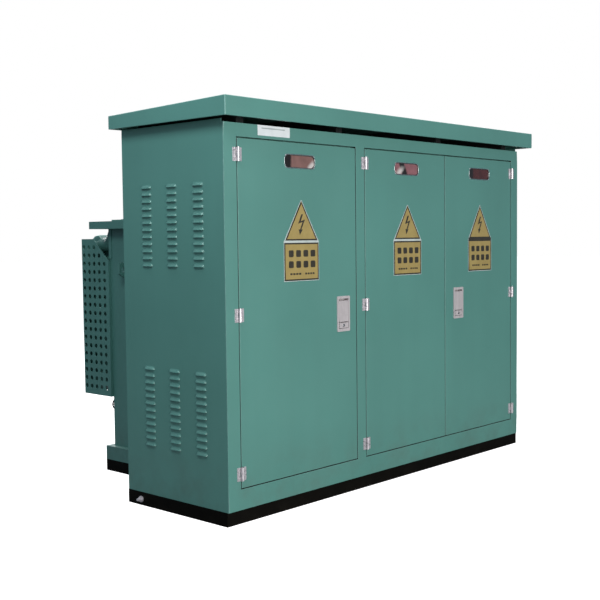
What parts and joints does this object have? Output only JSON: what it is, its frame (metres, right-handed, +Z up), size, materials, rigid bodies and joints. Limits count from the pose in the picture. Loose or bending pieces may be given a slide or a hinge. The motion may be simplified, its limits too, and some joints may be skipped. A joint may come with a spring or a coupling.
{
  "type": "pad-mounted transformer",
  "caption": "Green pad-mounted transformer: terminal cabinet with hinged doors, windows, louvred sides and overhanging roof, joined to an oil tank with guarded radiators.",
  "frame": {"origin": "under the middle of the whole object, on the ground", "axes": "+X along the cabinet to the right as one faces the doors, +Y from the doors to the radiators, +Z up"},
  "size_m": [2.296, 1.483, 1.705],
  "materials": {
    "green_paint": "satin powder coat",
    "black_paint": "satin black enamel",
    "zinc_plate": "bright zinc plate",
    "lock_metal": "satin chrome-plated die casting",
    "bare_steel": "bare steel",
    "window_glass": "tinted clear pane in a bright rim",
    "sign_face": "yellow enamelled plate",
    "label_face": "blank white plate",
    "gasket_rubber": "nitrile cork",
    "copper": "copper",
    "bushing_epoxy": "red-brown moulded epoxy",
    "bushing_ceramic": "glazed porcelain with copper spade",
    "dark_plastic": "moulded nylon",
    "red_paint": "gloss enamel",
    "gauge_case": "grey enamel with glass",
    "valve_brass": "cast brass"
  },
  "bodies": {
    "cabinet": {"base_rails": "black_paint", "tank_base_rails": "black_paint", "earth_bolts": "zinc_plate", "side_panel_left": "green_paint", "side_panel_right": "green_paint", "front_posts": "green_paint", "front_rails": "green_paint", "back_panels": "green_paint", "partition_panel": "green_paint", "roof_bearers": "green_paint", "roof_cap": "green_paint", "blank_label": "label_face", "hinge_frame_leaves": "zinc_plate", "hinge_pins": "bare_steel", "tank_shell": "green_paint", "tank_lid": "green_paint", "lid_gasket": "gasket_rubber", "lid_bolts": "zinc_plate", "core": "bare_steel", "windings": "copper", "radiators": "green_paint", "tank_canopy": "green_paint", "radiator_guards": "green_paint", "lifting_lugs": "green_paint", "hv_bushings": "bushing_epoxy", "lv_bushings": "bushing_ceramic", "fuse_wells": "bare_steel", "operator_bosses": "bare_steel", "tank_gauges": "gauge_case", "relief_valve": "valve_brass", "drain_valve": "valve_brass", "earth_bar": "copper"},
    "door_left": {"door_left_panel": "green_paint", "door_left_window": "window_glass", "door_left_sign": "sign_face", "door_left_hinge_leaves": "zinc_plate", "lock_left_case": "lock_metal"},
    "door_centre": {"door_centre_panel": "green_paint", "door_centre_window": "window_glass", "door_centre_sign": "sign_face", "door_centre_hinge_leaves": "zinc_plate"},
    "door_right": {"door_right_panel": "green_paint", "door_right_window": "window_glass", "door_right_sign": "sign_face", "door_right_hinge_leaves": "zinc_plate", "lock_right_case": "lock_metal"},
    "lock_left_handle": {"lock_left_handle": "lock_metal"},
    "lock_left_button": {"lock_left_button": "lock_metal"},
    "lock_left_latch": {"lock_left_latch": "bare_steel"},
    "lock_right_handle": {"lock_right_handle": "lock_metal"},
    "lock_right_button": {"lock_right_button": "lock_metal"},
    "lock_right_latch": {"lock_right_latch": "bare_steel"},
    "shoot_bolt_top": {"shoot_bolt_top": "zinc_plate"},
    "shoot_bolt_bottom": {"shoot_bolt_bottom": "zinc_plate"},
    "fuse_holder_a": {"fuse_holder_a": "dark_plastic"},
    "fuse_holder_b": {"fuse_holder_b": "dark_plastic"},
    "fuse_holder_c": {"fuse_holder_c": "dark_plastic"},
    "switch_handle": {"switch_handle": "red_paint"},
    "tap_dial": {"tap_dial": "dark_plastic"},
    "drain_wheel": {"drain_wheel": "red_paint"}
  },
  "joints": [
    {"name": "door_left_hinge", "type": "hinge", "parent": "cabinet", "child": "door_left", "pos_m": [-1.028, -0.6855, 0.846], "axis": [0, 0, -1], "range_deg": [0, 110]},
    {"name": "door_centre_hinge", "type": "hinge", "parent": "cabinet", "child": "door_centre", "pos_m": [-0.226, -0.6855, 0.846], "axis": [0, 0, -1], "range_deg": [0, 110]},
    {"name": "door_right_hinge", "type": "hinge", "parent": "cabinet", "child": "door_right", "pos_m": [1.034, -0.6855, 0.846], "axis": [0, 0, 1], "range_deg": [0, 110]},
    {"name": "lock_left_handle_lift", "type": "hinge", "parent": "door_left", "child": "lock_left_handle", "pos_m": [-0.385, -0.6725, 0.868], "axis": [-1, 0, 0], "range_deg": [0, 45]},
    {"name": "lock_left_button_push", "type": "slide", "parent": "door_left", "child": "lock_left_button", "axis": [0, 1, 0], "range_m": [0, 0.004], "stiffness_N_per_m": 600},
    {"name": "lock_left_latch_slide", "type": "slide", "parent": "door_left", "child": "lock_left_latch", "axis": [-1, 0, 0], "range_m": [0, 0.0085]},
    {"name": "lock_right_handle_lift", "type": "hinge", "parent": "door_right", "child": "lock_right_handle", "pos_m": [0.523, -0.6725, 0.868], "axis": [-1, 0, 0], "range_deg": [0, 45]},
    {"name": "lock_right_button_push", "type": "slide", "parent": "door_right", "child": "lock_right_button", "axis": [0, 1, 0], "range_m": [0, 0.004], "stiffness_N_per_m": 600},
    {"name": "lock_right_latch_slide", "type": "slide", "parent": "door_right", "child": "lock_right_latch", "axis": [1, 0, 0], "range_m": [0, 0.0085]},
    {"name": "shoot_bolt_top_slide", "type": "slide", "parent": "door_centre", "child": "shoot_bolt_top", "axis": [0, 0, 1], "range_m": [0, 0.02]},
    {"name": "shoot_bolt_bottom_slide", "type": "slide", "parent": "door_centre", "child": "shoot_bolt_bottom", "axis": [0, 0, -1], "range_m": [0, 0.02]},
    {"name": "fuse_a_draw", "type": "slide", "parent": "cabinet", "child": "fuse_holder_a", "axis": [0, -1, 0], "range_m": [0, 0.15]},
    {"name": "fuse_b_draw", "type": "slide", "parent": "cabinet", "child": "fuse_holder_b", "axis": [0, -1, 0], "range_m": [0, 0.15]},
    {"name": "fuse_c_draw", "type": "slide", "parent": "cabinet", "child": "fuse_holder_c", "axis": [0, -1, 0], "range_m": [0, 0.15]},
    {"name": "switch_turn", "type": "hinge", "parent": "cabinet", "child": "switch_handle", "pos_m": [-0.6, -0.0935, 1.08], "axis": [0, 1, 0], "range_deg": [0, 90]},
    {"name": "tap_turn", "type": "hinge", "parent": "cabinet", "child": "tap_dial", "pos_m": [-0.42, -0.0935, 1.08], "axis": [0, 1, 0], "range_deg": [-60, 60]},
    {"name": "drain_turn", "type": "hinge", "parent": "cabinet", "child": "drain_wheel", "pos_m": [-0.69, 0.5775, 0.32], "axis": [0, 1, 0], "continuous": true}
  ],
  "couplings": [
    {"joint": "lock_left_latch_slide", "follows": "lock_left_handle_lift", "m_per_rad": 0.0102},
    {"joint": "lock_right_latch_slide", "follows": "lock_right_handle_lift", "m_per_rad": 0.0102}
  ]
}
